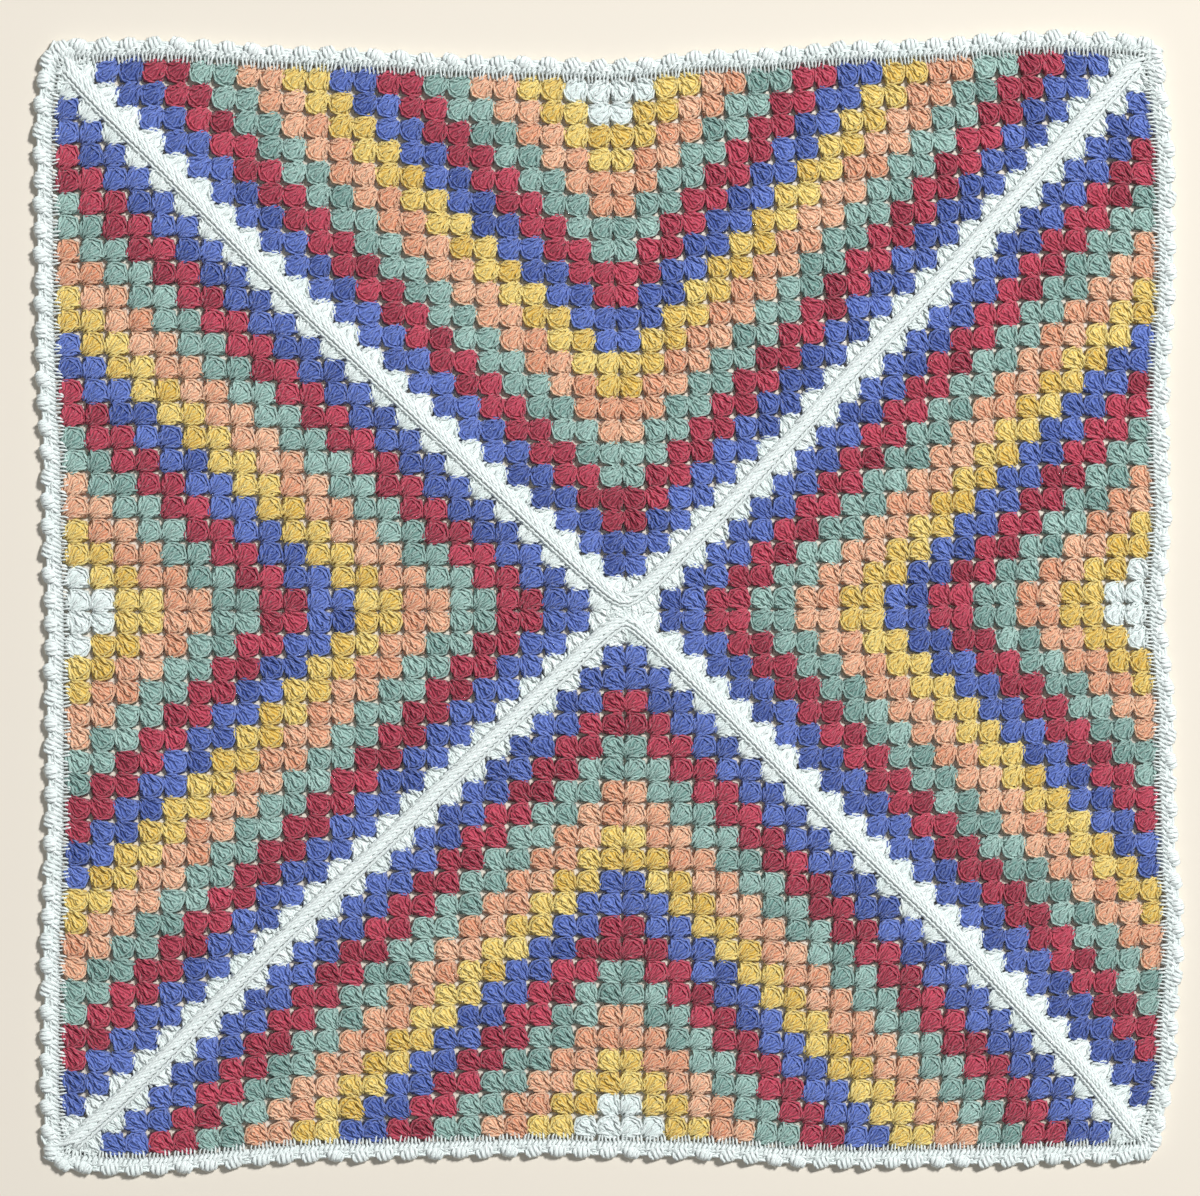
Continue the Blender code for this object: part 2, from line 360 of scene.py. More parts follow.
class YarnWork:
    """Strands of yarn laid one by one into a single mesh."""

    def __init__(self) -> None:
        """Starts with no yarn."""
        self.mesh = bmesh.new()
        self.uv = self.mesh.loops.layers.uv.new(UV_NAME)
        self.tint = self.mesh.verts.layers.float.new(SHADE_NAME)

    def pad(
        self, place: Matrix, sides: int, power: float, fan: Vector, shade: float, waist: float = 0.0
    ) -> None:
        """Lays a low cushion: the strands that lie under the ones on top, as one closed body.

        Args:
            place: Its place, with its half width, half length and half height as the scale.
            sides: How many sides it has round its outline.
            power: Its outline's form, from 1 for a diamond to 2 for an oval.
            fan: The point that the strokes on it fan out from.
            shade: How much lighter it is than the rest.
            waist: How much narrower it is in its lower half, as a share.
        """
        made = bmesh.ops.create_uvsphere(
            self.mesh, u_segments=sides, v_segments=PAD_RINGS, radius=1.0
        )["verts"]
        for vertex in made:
            vertex[self.tint] = shade
            reach = math.hypot(vertex.co.x, vertex.co.y)
            if reach > NEAR_POLE:
                corner = abs(vertex.co.x / reach) ** power + abs(vertex.co.y / reach) ** power
                vertex.co.x *= corner ** (-1 / power)
                vertex.co.y *= corner ** (-1 / power)
            vertex.co.x *= 1 - waist * min(max(-vertex.co.y / WAIST_DEPTH, 0), 1)
        bmesh.ops.transform(self.mesh, matrix=place, verts=made)
        for face in {face for vertex in made for face in vertex.link_faces}:
            for loop in face.loops:
                away = loop.vert.co - fan
                loop[self.uv].uv = (math.atan2(away.x, away.y) * FAN_RADIUS, 0.0)

    def lay(
        self,
        path: list[Vector],
        radius: float,
        swell: tuple = (1.0, 1.0),
        flat: float = 1.0,
        sides: int = STRAND_SIDES,
        shade: float = 0.0,
    ) -> None:
        """Lays a strand along a path, with both of its ends closed and blunt.

        Args:
            path: The strand's centre line.
            radius: The strand's radius.
            swell: Shares of the radius at even steps along the path.
            flat: Its thickness as a share of its width.
            sides: How many sides it has.
            shade: How much lighter it is than the rest.
        """
        frames = frames_along(path)
        count = len(path)
        run = [0.0]
        for before, after in zip(path, path[1:]):
            run.append(run[-1] + (after - before).length)
        girth = []
        for index in range(count):
            step = index / (count - 1) * (len(swell) - 1)
            low = min(int(step), len(swell) - 2)
            girth.append(radius * (swell[low] + (swell[low + 1] - swell[low]) * (step - low)))
        section = frames[0] @ Matrix.Diagonal((1, flat, 1, 1))
        first = bmesh.ops.create_circle(self.mesh, segments=sides, radius=girth[0], matrix=section)["verts"]
        places = {vertex: (run[0], side / sides) for side, vertex in enumerate(first)}
        faces: list[bmesh.types.BMFace] = []
        last = first
        for index in range(1, count):
            last = self._grow(last, places, run[index], faces)
            widen = Matrix.Scale(girth[index] / girth[index - 1], 4)
            move = frames[index] @ widen @ frames[index - 1].inverted()
            bmesh.ops.transform(self.mesh, matrix=move, verts=last)
        for ring, frame, along, bulge in (
            (first, frames[0], run[0], -END_BULGE * girth[0]),
            (last, frames[-1], run[-1], END_BULGE * girth[-1]),
        ):
            end = self._grow(ring, places, along + bulge, faces)
            bmesh.ops.pointmerge(self.mesh, verts=end, merge_co=frame @ Vector((0, 0, bulge)))
            places[end[0]] = (along + bulge, None)
        for vertex in places:
            if vertex.is_valid:
                vertex[self.tint] = shade
        self._unroll(faces, places)

    def _grow(self, ring: list, places: dict, along: float, faces: list) -> list:
        """Extrudes a ring of vertices by one length.

        Args:
            ring: The vertices, in order round the strand.
            places: Place along and round the strand of each vertex, added to here.
            along: The new ring's place along the strand.
            faces: The strand's faces, added to here.

        Returns:
            The new ring, in the same order.
        """
        inside = set(ring)
        found = (e for vertex in ring for e in vertex.link_edges if e.other_vert(vertex) in inside)
        edges = list(dict.fromkeys(found))  # each once, in the same order on each run
        made = bmesh.ops.extrude_edge_only(self.mesh, edges=edges)["geom"]
        new = {item for item in made if isinstance(item, bmesh.types.BMVert)}
        faces.extend(item for item in made if isinstance(item, bmesh.types.BMFace))
        grown = []
        for vertex in ring:
            other = next(e.other_vert(vertex) for e in vertex.link_edges if e.other_vert(vertex) in new)
            places[other] = (along, places[vertex][1])
            grown.append(other)
        return grown

    def _unroll(self, faces: list, places: dict) -> None:
        """Writes a strand's UV map: metres along it, and turns round it.

        Args:
            faces: The strand's faces.
            places: Place along and round the strand of each vertex.
        """
        for face in faces:
            if not face.is_valid:
                continue
            sides = [places[loop.vert][1] for loop in face.loops if places[loop.vert][1] is not None]
            wraps = max(sides) - min(sides) > HALF_TURN
            turned = [side + 1 if wraps and side < HALF_TURN else side for side in sides]
            for loop in face.loops:
                along, side = places[loop.vert]
                if side is None:
                    side = sum(turned) / len(turned)
                elif wraps and side < HALF_TURN:
                    side += 1
                loop[self.uv].uv = (along, side)

    def done(self, name: str) -> bpy.types.Mesh:
        """Closes the work and gives it out as a mesh.

        Args:
            name: The mesh's name.

        Returns:
            The mesh, smooth and facing out.
        """
        bmesh.ops.recalc_face_normals(self.mesh, faces=self.mesh.faces)
        for face in self.mesh.faces:
            face.smooth = True
        data = bpy.data.meshes.new(name)
        self.mesh.to_mesh(data)
        self.mesh.free()
        return data


class Spread:
    """Copies of small yarn meshes gathered into one piece of the blanket."""

    def __init__(self, seed: int) -> None:
        """Starts empty, with its own run of random numbers."""
        self.mesh = bmesh.new()
        self.rng = random.Random(seed)

    def put(self, pattern: bpy.types.Mesh, place: Matrix, yarn: Yarn, shade: float) -> None:
        """Puts down one copy of a pattern.

        Args:
            pattern: The mesh to copy.
            place: Where the copy lies on the even square.
            yarn: The yarn that it is worked in.
            shade: How light the yarn is here, from 0 to 1.
        """
        copy = pattern.copy()
        copy.transform(place)
        copy.polygons.foreach_set("material_index", [yarn.value] * len(copy.polygons))
        tint = copy.attributes[SHADE_NAME]
        values = [0.0] * len(copy.vertices)
        tint.data.foreach_get("value", values)
        tint.data.foreach_set("value", [value + shade for value in values])
        self.mesh.from_mesh(copy)
        bpy.data.meshes.remove(copy)

    def object(self, name: str, outline: Outline, materials: Materials) -> bpy.types.Object:
        """Pulls the gathered work to the blanket's outline and makes it one object.

        Args:
            name: The object's name.
            outline: The blanket's outline.
            materials: One material for each yarn.

        Returns:
            The object, at the origin.
        """
        for vertex in self.mesh.verts:
            vertex.co.x, vertex.co.y = outline.pulled(vertex.co.x, vertex.co.y)
        data = bpy.data.meshes.new(name)
        self.mesh.to_mesh(data)
        self.mesh.free()
        for material in materials:
            data.materials.append(material)
        thing = bpy.data.objects.new(name, data)
        bpy.context.scene.collection.objects.link(thing)
        return thing


@dataclass
class Cluster:
    """A cluster of three trebles, fanned out of one gap, and the chain stitches along its top.

    Its X runs along the row and its Y out of the row's foot, from the gap that it is worked into. The yarn
    that lies underneath is one low cushion, and the strands that show on top of it are laid one by one.
    Each range is what a random number is drawn from. Each scatter is in millimetres, either way.
    """

    pad_centre: tuple = (0.0, -0.4 * MM, 2.35 * MM)
    pad_size: tuple = (9.9 * MM, 9.9 * MM, 2.25 * MM)
    pad_sides: int = 12
    pad_power: float = 1.32
    pad_waist: float = 0.1
    # painted shade: the cushion under the strands is darker
    pad_painted_shade: float = -0.25
    pad_size_range: tuple = (0.97, 1.03)
    fan_reach: float = 1.5  # where the pad's strokes fan out from, as a share of foot_y
    strand_radius: float = 1.6 * MM
    strand_sides: int = 3
    strand_swell: tuple = (0.8, 1.0, 0.9)
    strands_per_post: int = 2
    foot_y: float = -10.2 * MM
    top_y: float = 5.2 * MM
    foot_spacing: float = 2.4 * MM
    top_spacing: float = 7.2 * MM
    outer_post_shortfall: float = 2.9 * MM
    outer_post_bow: float = 0.4 * MM
    foot_z: float = 2.7 * MM
    top_z: float = 3.2 * MM
    top_ranges: tuple = ((-0.6, 0.6), (-0.6, 0.6), (-0.15, 0.25))
    arch: float = 1.3 * MM
    twist_radius: float = 1.55 * MM
    twist_foot: float = 0.6  # the twist's share of its radius at the foot
    twist_flatness: float = 0.65
    twist_turns: float = 1.15
    twist_range: tuple = (0.7, 1.3)
    post_rings: int = 6
    post_shades: tuple = (-0.1, 0.1)
    chain_radius: float = 1.3 * MM
    chain_half_width: float = 9.5 * MM
    chain_y: float = 7.5 * MM
    chain_drop: float = 6.3 * MM  # how much nearer the foot its ends are than its middle
    chain_bend: float = 1.7
    chain_z: float = 4.1 * MM
    chain_dip: float = 1.6 * MM  # how much lower its ends are than its middle
    chain_scatter: tuple = (0.4, 0.3)
    chain_rings: int = 7
    chain_step: float = 2.2 * MM  # how far the second strand lies back from the first
    chain_taper: float = 0.8  # how much narrower and higher it is for each metre back
    chain_rise: float = 0.1
    chain_lobes: tuple = (0.2 * MM, 0.9 * MM)
    # painted light: the chain along the rim is lighter than the posts
    chain_shade: float = 0.1
    variants: int = 10

    def patterns(self, seed: int) -> Drawings:
        """Draws the cluster several times over, no two alike.

        Args:
            seed: Start of the random numbers.

        Returns:
            Pairs of meshes: the cushion, and the strands on it.
        """
        rng = random.Random(seed)
        return [self.pattern(number, rng) for number in range(self.variants)]

    def pattern(self, number: int, rng: random.Random) -> Drawing:
        """Draws one cluster.

        Args:
            number: Which of the drawings it is.
            rng: Source of the small differences.

        Returns:
            The cushion, and the strands on it.
        """
        under = YarnWork()
        size = [side * rng.uniform(*self.pad_size_range) for side in self.pad_size]
        body = Matrix.Translation(self.pad_centre) @ Matrix.Diagonal((*size, 1))
        fan = Vector((0, self.fan_reach * self.foot_y, 0))
        under.pad(body, self.pad_sides, self.pad_power, fan, self.pad_painted_shade, self.pad_waist)
        over = YarnWork()
        for post in (-1, 0, 1):
            self._lay_post(over, post, rng)
        for strand in range(len(self.chain_lobes)):
            self._lay_chain(over, strand, rng)
        return under.done(f"cushion_{number}"), over.done(f"strands_{number}")

    def _lay_post(self, work: YarnWork, post: int, rng: random.Random) -> None:
        """Lays one treble's post, as strands twisted round each other.

        Args:
            work: Where to lay it.
            post: Which post: -1, 0 or 1 across the cluster.
            rng: Source of the small differences.
        """
        foot = Vector((post * self.foot_spacing, self.foot_y, self.foot_z))
        top_y = self.top_y - self.outer_post_shortfall * abs(post)
        top = Vector((post * self.top_spacing, top_y, self.top_z))
        top += Vector([rng.uniform(*span) for span in self.top_ranges]) * MM
        across = (top - foot).cross(UP).normalized()
        phase = rng.uniform(0, math.tau)
        turns = self.twist_turns * rng.uniform(*self.twist_range)
        for strand in range(self.strands_per_post):
            path = []
            for share in steps(self.post_rings):
                bow = across * post * self.outer_post_bow + UP * self.arch
                centre = foot.lerp(top, share) + bow * math.sin(math.pi * share)
                angle = phase + math.tau * (strand / self.strands_per_post + turns * share)
                offset = across * math.cos(angle) + UP * self.twist_flatness * math.sin(angle)
                grown = self.twist_foot + (1 - self.twist_foot) * share
                path.append(centre + offset * self.twist_radius * grown)
            shade = rng.uniform(*self.post_shades)
            work.lay(path, self.strand_radius, self.strand_swell, sides=self.strand_sides, shade=shade)

    def _lay_chain(self, work: YarnWork, strand: int, rng: random.Random) -> None:
        """Lays one of the strands that show of the chain stitches along the cluster's top.

        Args:
            work: Where to lay it.
            strand: Which strand, counted from the rim. Each has its own lobes, in and out at its points.
            rng: Source of the small differences.
        """
        set_back = strand * self.chain_step
        rings = self.chain_rings - 2 * strand
        lobe = self.chain_lobes[strand]
        half_width = self.chain_half_width - self.chain_taper * set_back
        to_side, to_height = self.chain_scatter
        path = []
        for step, share in enumerate(steps(rings, -1)):
            y = self.chain_y - set_back - self.chain_drop * abs(share) ** self.chain_bend
            y += lobe * (1 if step % 2 else -1) + scatter(rng, to_side)
            z = self.chain_z + self.chain_rise * set_back - self.chain_dip * share**4
            z += scatter(rng, to_height)
            path.append(Vector((share * half_width, y, z)))
        work.lay(path, self.chain_radius, sides=self.strand_sides, shade=self.chain_shade)


@dataclass
class ClosingCluster(Cluster):
    """The last row's cluster, which fills its whole square and closes the gaps beside the ridges."""

    pad_centre: tuple = (0.0, 0.0, 2.35 * MM)
    pad_size: tuple = (11.6 * MM, 11.2 * MM, 2.25 * MM)
    pad_power: float = 1.1
    pad_waist: float = 0.0
    pad_painted_shade: float = 0.0
    foot_spacing: float = 2.8 * MM
    top_spacing: float = 8.2 * MM
    outer_post_shortfall: float = 5.0 * MM
    outer_post_bow: float = 0.6 * MM
    chain_half_width: float = 9.6 * MM


@dataclass
class Panel:
    """A half granny square: chevron rows of clusters from the middle of a side to the meeting point."""

    side: str
    quarter_turns: int
    outline: Outline
    rows_per_colour: int = 2
    bands: tuple = (Yarn.YELLOW, Yarn.PEACH, Yarn.SAGE, Yarn.CRIMSON, Yarn.BLUE)
    seed: int = 41
    place_scatter: float = 0.35  # mm, either way
    lift_range: tuple = (-0.1, 0.25)  # mm
    turn_range: tuple = (-4, 4)  # degrees
    size_range: tuple = (0.97, 1.03)
    shade_range: tuple = (0.15, 0.6)

    def yarn_of(self, row: int) -> Yarn:
        """Finds the yarn that a row is worked in. White starts and ends the panel.

        Args:
            row: The row, counted from 1.

        Returns:
            Its yarn.
        """
        band = (row - 1) // self.rows_per_colour
        if band == 0 or row == self.outline.rows:
            return Yarn.WHITE
        return self.bands[(band - 1) % len(self.bands)]

    def build(
        self, patterns: Drawings, last: Drawings, materials: Materials
    ) -> tuple[bpy.types.Object, bpy.types.Object]:
        """Works the panel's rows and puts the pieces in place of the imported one.

        Args:
            patterns: Drawings of the cluster.
            last: Drawings of the last row's cluster, which fills its whole square.
            materials: One material for each yarn.

        Returns:
            The panel's cloth, and the strands raised on it.
        """
        seed = self.seed + self.quarter_turns
        under, over = Spread(seed), Spread(seed)
        rng = under.rng
        pitch = self.outline.row_pitch
        turned = Matrix.Rotation(self.quarter_turns * math.pi / 2, 4, "Z")
        for row in range(1, self.outline.rows + 1):
            choice = last if row == self.outline.rows else patterns
            for step in range(row):
                for side in (-1, 1):
                    x = side * (step + 0.5) * pitch + scatter(rng, self.place_scatter)
                    y = self.outline.panel_half - (row - step - 0.5) * pitch
                    y += scatter(rng, self.place_scatter)
                    heading = math.pi + side * math.pi / 4
                    heading += math.radians(rng.uniform(*self.turn_range))
                    size = rng.uniform(*self.size_range)
                    place = (
                        turned
                        @ Matrix.Translation((x, y, rng.uniform(*self.lift_range) * MM))
                        @ Matrix.Rotation(heading, 4, "Z")
                        @ Matrix.Diagonal((size * rng.choice((-1, 1)), size, 1, 1))
                    )
                    shade = rng.uniform(*self.shade_range)
                    cushion, strands = rng.choice(choice)
                    under.put(cushion, place, self.yarn_of(row), shade)
                    over.put(strands, place, self.yarn_of(row), shade)
        node = f"panel_{self.side}"
        pieces = []
        for spread, kind in ((under, "clusters"), (over, "raised_strands")):
            bmesh.ops.recalc_face_normals(spread.mesh, faces=spread.mesh.faces)
            piece = spread.object(f"{node}_{kind}", self.outline, materials)
            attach(piece, "root")
            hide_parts(node)
            pieces.append(piece)
        return pieces[0], pieces[1]


@dataclass
class JoiningRidge:
    """A raised ridge along two arms of the cross, its chain on the side towards the bottom.

    Places are across the ridge and up, scatters in millimetres either way, and shifts in stitches.
    """

    name: str
    upper: bool
    outline: Outline
    seed: int = 97
    variants: int = 6
    middle_offset: float = 8.0 * MM
    corner_end: float = 0.38
    corner_patch: float = 0.3765
    middle_patch: tuple = (5.5 * MM, 0.3 * MM)
    middle_turn: float = 0.1  # quarter turns
    patch_shade: float = 0.4
    stitch_pitch: float = 4.6 * MM
    stitch_shades: tuple = (0.35, 0.6)
    look_ahead: float = 0.1 * MM  # how far on the ridge's direction is read
    core_place: tuple = (0.6 * MM, 3.5 * MM)
    core_radius: float = 4.6 * MM
    core_flatness: float = 0.55
    # painted light: the core under the legs is lighter, against the shade that falls between them
    core_painted_light: float = 0.2
    chain_places: tuple = ((-4.6 * MM, 5.4 * MM), (-2.1 * MM, 6.5 * MM))
    chain_radius: float = 1.35 * MM
    chain_sway: float = 0.25 * MM
    chain_scatter: float = 0.15
    chain_end_drop: float = 2.0 * MM
    chain_shade: float = 0.5
    leg_radius: float = 1.5 * MM
    leg_start: float = -1.2 * MM
    leg_reach: float = 5.6 * MM
    leg_slant: float = 16.0 * MM
    leg_z: float = 5.7 * MM
    leg_dip: float = 1.3 * MM
    leg_arch: float = 0.9 * MM
    leg_shift: float = 0.25
    leg_scatter: tuple = (0.5, 0.3)
    leg_rings: int = 6
    side_radius: float = 1.2 * MM
    side_start: float = 3.5 * MM
    side_reach: float = 8.6 * MM
    side_slant: float = 2.5 * MM
    side_z: float = 4.6 * MM
    side_dip: float = 1.5 * MM
    side_shift: float = 0.3
    side_scatter: float = 0.4
    side_shade: float = -0.08

    def line(self, x: float) -> Vector:
        """The ridge's middle on the even square at a place across it."""
        rise = math.sqrt(x * x + self.middle_offset**2)
        return Vector((x, rise if self.upper else -rise, 0.0))

    def stations(self) -> list[Matrix]:
        """Finds a frame for each stitch: X along the ridge to the right, Y towards the top.

        Returns:
            The frames, a stitch apart.
        """
        frames = []
        x = -self.corner_end
        while x < self.corner_end:
            here = self.line(x)
            along = (self.line(x + self.look_ahead) - here).normalized()
            across = UP.cross(along)
            turn = Matrix((along, across, UP)).transposed().to_4x4()
            frames.append(Matrix.Translation(here) @ turn)
            x += self.stitch_pitch * along.x
        return frames

    def build(self, patterns: Drawings, materials: Materials) -> bpy.types.Object:
        """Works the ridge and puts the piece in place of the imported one.

        Args:
            patterns: Drawings of the cluster that closes the corners and the meeting point.
            materials: One material for each yarn.

        Returns:
            The ridge's object.
        """
        frames = self.stations()
        spread = Spread(self.seed + int(self.upper))
        rng = spread.rng
        chains = YarnWork()
        for across, height in self.chain_places:
            path = []
            for frame in frames:
                for half in (0.0, 0.5):
                    sway = self.chain_sway * math.cos(math.tau * half)
                    sway += scatter(rng, self.chain_scatter)
                    place = Vector((half * self.stitch_pitch, across + sway, height))
                    path.append(frame @ place)
            for end in (path[0], path[-1]):
                end.z -= self.chain_end_drop
            chains.lay(path, self.chain_radius)
        core = [frame @ Vector((0, *self.core_place)) for frame in frames[::2]]
        chains.lay(
            core, self.core_radius, flat=self.core_flatness, sides=CORE_SIDES, shade=self.core_painted_light
        )
        spread.put(chains.done("chain"), Matrix.Identity(4), Yarn.WHITE, self.chain_shade)

        stitches = [self._stitch(rng) for _ in range(self.variants)]
        for frame in frames:
            spread.put(rng.choice(stitches), frame, Yarn.WHITE, rng.uniform(*self.stitch_shades))
        for side in (-1, 1):
            x, y = side * self.corner_patch, self.corner_patch if self.upper else -self.corner_patch
            out = Matrix.Rotation(math.atan2(y, x) - math.pi / 2, 4, "Z")
            for mesh in rng.choice(patterns):
                spread.put(mesh, Matrix.Translation((x, y, 0)) @ out, Yarn.WHITE, self.patch_shade)
        if self.upper:
            for quarter in range(4):
                place = Matrix.Rotation((quarter + self.middle_turn) * math.pi / 2, 4, "Z")
                place = place @ Matrix.Translation((0, *self.middle_patch))
                for mesh in rng.choice(patterns):
                    spread.put(mesh, place, Yarn.WHITE, self.patch_shade)
        piece = spread.object(f"{self.name}_stitches", self.outline, materials)
        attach(piece, "root")
        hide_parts(self.name)
        return piece

    def _stitch(self, rng: random.Random) -> bpy.types.Mesh:
        """Draws one stitch: its slanted leg on the ridge, and a strand down each side to the panels.

        Args:
            rng: Source of the small differences.

        Returns:
            The mesh.
        """
        work = YarnWork()
        to_side, to_height = self.leg_scatter
        start = rng.uniform(-self.leg_shift, self.leg_shift) * self.stitch_pitch
        arch = self.leg_arch + scatter(rng, to_height)
        path = []
        for share in steps(self.leg_rings):
            x = start + self.leg_slant * (0.5 - share)
            y = self.leg_start + (self.leg_reach - self.leg_start) * share + scatter(rng, to_side)
            z = self.leg_z - self.leg_dip * share**2 + arch * math.sin(math.pi * share)
            path.append(Vector((x, y, z)))
        work.lay(path, self.leg_radius)
        for side in (-1, 1):
            start = rng.uniform(-self.side_shift, self.side_shift) * self.stitch_pitch
            path = []
            for share in (0.0, 0.5, 1.0):
                x = start + side * self.side_slant * share + scatter(rng, self.side_scatter)
                y = side * (self.side_start + (self.side_reach - self.side_start) * share)
                path.append(Vector((x, y, self.side_z - self.side_dip * share**2)))
            work.lay(path, self.side_radius, shade=self.side_shade)
        return work.done("joining_stitch")


@dataclass
class Edging:
    """The white edging: long stitches over the panels' edge, a chain, and a bobble every pitch.

    Places are outwards and up, points and scatters in millimetres, reaches in pitches, girths in radii.
    """

    outline: Outline
    seed: int = 7
    variants: int = 8
    bobbles_per_side: int = 44
    bobbles_per_corner: int = 2
    corner_radius: float = 4.0 * MM
    turn_range: tuple = (-3, 3)  # degrees
    shift_ranges: tuple = ((-0.5, 0.5), (-0.4, 0.3))  # mm
    shade_range: tuple = (0.35, 0.65)
    inner_painted_light: float = 0.1  # of the base and the legs: painted light, lighter than the bobbles
    base_places: tuple = ((4.8 * MM, 2.9 * MM), (9.2 * MM, 2.7 * MM))
    base_reach: float = 0.6
    base_radius: float = 2.9 * MM
    base_flatness: float = 0.75
    strand_radius: float = 1.2 * MM
    legs: int = 6
    leg_radius: float = 0.95 * MM
    leg_girths: tuple = (0.85, 1.2)
    leg_sides: int = 3
    leg_points: tuple = ((-2.4, 3.8), (-1.2, 5.0), (1.6, 5.5), (4.6, 4.8))
    leg_shortfalls: tuple = (-0.3, 1.6)  # mm
    leg_gather: tuple = (0.75, 0.95)  # how near its bobble's middle a leg's foot is
    leg_scatter: float = 0.8
    band_stitches: int = 5
    band_step: float = 3.4  # mm
    band_points: tuple = ((-1.4, 3.4, 4.8), (0.2, 6.3, 5.7), (1.4, 9.0, 4.8))
    band_shift: float = 0.2  # steps
    band_scatter: float = 0.4
    band_girth: float = 1.2
    chain_place: tuple = (7.6 * MM, 5.6 * MM)
    chain_reach: float = 0.54
    chain_sway: float = 0.7 * MM
    chain_waves: float = 2.5
    chain_dip: float = 0.9 * MM
    chain_scatter: float = 0.4
    chain_rings: int = 7
    bobble_centre: tuple = (0.0, 10.6 * MM, 3.9 * MM)
    bobble_radii: tuple = (7.0 * MM, 5.4 * MM, 3.7 * MM)
    bobble_turn: float = 0.5  # radians
    bobble_strands: int = 4
    bobble_spread: float = 0.8
    bobble_depth: float = 0.74
    bobble_height: float = 0.9
    bobble_wrap: float = 95.0  # degrees from its top that a strand goes to each way
    bobble_roundness: float = 0.7
    bobble_gather: tuple = (0.5, 0.4, 1.3)  # brings its strands together at their ends
    bobble_girth: float = 1.25
    bobble_rings: int = 5
    infill_centre: tuple = (0.0, 10.2 * MM, 3.2 * MM)
    infill_radii: tuple = (5.2 * MM, 2.6 * MM, 2.0 * MM)
    # painted shade: the cushion under the short stitches is darker
    infill_painted_shade: float = -0.15
    infill_places: tuple = (9.6 * MM, 11.7 * MM)
    infill_shares: tuple = (-1, -0.4, 0.4, 1)
    infill_half_width: float = 4.6 * MM
    infill_bend: float = 0.6 * MM
    infill_z: float = 4.8 * MM
    infill_dip: float = 1.4 * MM
    infill_scatter: float = 0.4

    @property
    def straight(self) -> float:
        """Half of the straight part of each side."""
        return self.outline.panel_half - self.corner_radius

    @property
    def pitch(self) -> float:
        """Distance between bobbles along a side."""
        return 2 * self.straight / self.bobbles_per_side

    def stations(self) -> list[Matrix]:
        """Finds a frame for each bobble: X along the edge, Y outwards, its origin on the panels' edge.

        Returns:
            The frames, once round the blanket.
        """
        frames = []
        half = self.outline.panel_half
        for side in range(4):
            turned = Matrix.Rotation(-side * math.pi / 2, 4, "Z")
            for bobble in range(self.bobbles_per_side):
                along = -self.straight + (bobble + 0.5) * self.pitch
                frames.append(turned @ Matrix.Translation((along, half, 0)))
            for bobble in range(self.bobbles_per_corner):
                angle = -(bobble + 0.5) / self.bobbles_per_corner * math.pi / 2
                corner = Matrix.Translation((self.straight, self.straight, 0))
                spoke = Matrix.Rotation(angle, 4, "Z") @ Matrix.Translation((0, self.corner_radius, 0))
                frames.append(turned @ corner @ spoke)
        return frames

    def build(self, materials: Materials) -> bpy.types.Object:
        """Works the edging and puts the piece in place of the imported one.

        Args:
            materials: One material for each yarn.

        Returns:
            The edging's object.
        """
        spread = Spread(self.seed)
        rng = spread.rng
        patterns = [self._unit(rng) for _ in range(self.variants)]
        for frame in self.stations():
            turn = Matrix.Rotation(math.radians(rng.uniform(*self.turn_range)), 4, "Z")
            shift = Matrix.Translation((*(rng.uniform(*span) * MM for span in self.shift_ranges), 0))
            place = frame @ shift @ turn
            spread.put(rng.choice(patterns), place, Yarn.WHITE, rng.uniform(*self.shade_range))
        piece = spread.object("edging_stitches", self.outline, materials)
        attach(piece, "root")
        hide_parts("edging")
        return piece

    def _unit(self, rng: random.Random) -> bpy.types.Mesh:
        """Draws one pitch of the edging.

        Args:
            rng: Source of the small differences.

        Returns:
            The mesh.
        """
        work = YarnWork()
        for y, z in self.base_places:
            base = [Vector((share * self.base_reach * self.pitch, y, z)) for share in (-1, 0, 1)]
            work.lay(
                base, self.base_radius, flat=self.base_flatness, sides=CORE_SIDES, shade=self.inner_painted_light
            )
        for leg in range(self.legs):
            top = (leg - (self.legs - 1) / 2) * self.pitch / self.legs
            foot = top * rng.uniform(*self.leg_gather) + scatter(rng, self.leg_scatter)
            short = rng.uniform(*self.leg_shortfalls)
            path = []
            for share, (y, z) in zip(steps(len(self.leg_points)), self.leg_points):
                x = foot + (top - foot) * share
                path.append(Vector((x, (y + short * (1 - share)) * MM, z * MM)))
            radius = self.leg_radius * rng.uniform(*self.leg_girths)
            work.lay(path, radius, sides=self.leg_sides, shade=self.inner_painted_light)
        for stitch in range(self.band_stitches):
            shift = rng.uniform(-self.band_shift, self.band_shift)
            start = (stitch - (self.band_stitches - 1) / 2 + shift) * self.band_step
            path = []
            for x, y, z in self.band_points:
                y += rng.uniform(-self.band_scatter, self.band_scatter)
                path.append(Vector((start + x, y, z)) * MM)
            work.lay(path, self.strand_radius * self.band_girth)
        y, z = self.chain_place
        path = []
        for share in steps(self.chain_rings, -1):
            sway = self.chain_sway * math.cos(self.chain_waves * math.pi * share)
            sway += scatter(rng, self.chain_scatter)
            x = share * self.chain_reach * self.pitch
            path.append(Vector((x, y + sway, z - self.chain_dip * share**4)))
        work.lay(path, self.strand_radius)
        self._lay_bobble(work, rng)
        self._lay_infill(work, rng)
        return work.done("edging_pitch")

    def _lay_infill(self, work: YarnWork, rng: random.Random) -> None:
        """Lays the short stitches between two bobbles.

        Args:
            work: Where to lay them.
            rng: Source of the small differences.
        """
        middle = Vector((self.pitch / 2, 0, 0))
        centre = middle + Vector(self.infill_centre)
        body = Matrix.Translation(centre) @ Matrix.Diagonal((*self.infill_radii, 1))
        work.pad(body, ROUND_SIDES, ROUND_POWER, middle, self.infill_painted_shade)
        for out in self.infill_places:
            path = []
            for share in self.infill_shares:
                y = out - self.infill_bend * share**2
                z = self.infill_z - self.infill_dip * share**2
                place = Vector((share * self.infill_half_width, y, z))
                path.append(middle + place + Vector((0, scatter(rng, self.infill_scatter), 0)))
            work.lay(path, self.strand_radius)

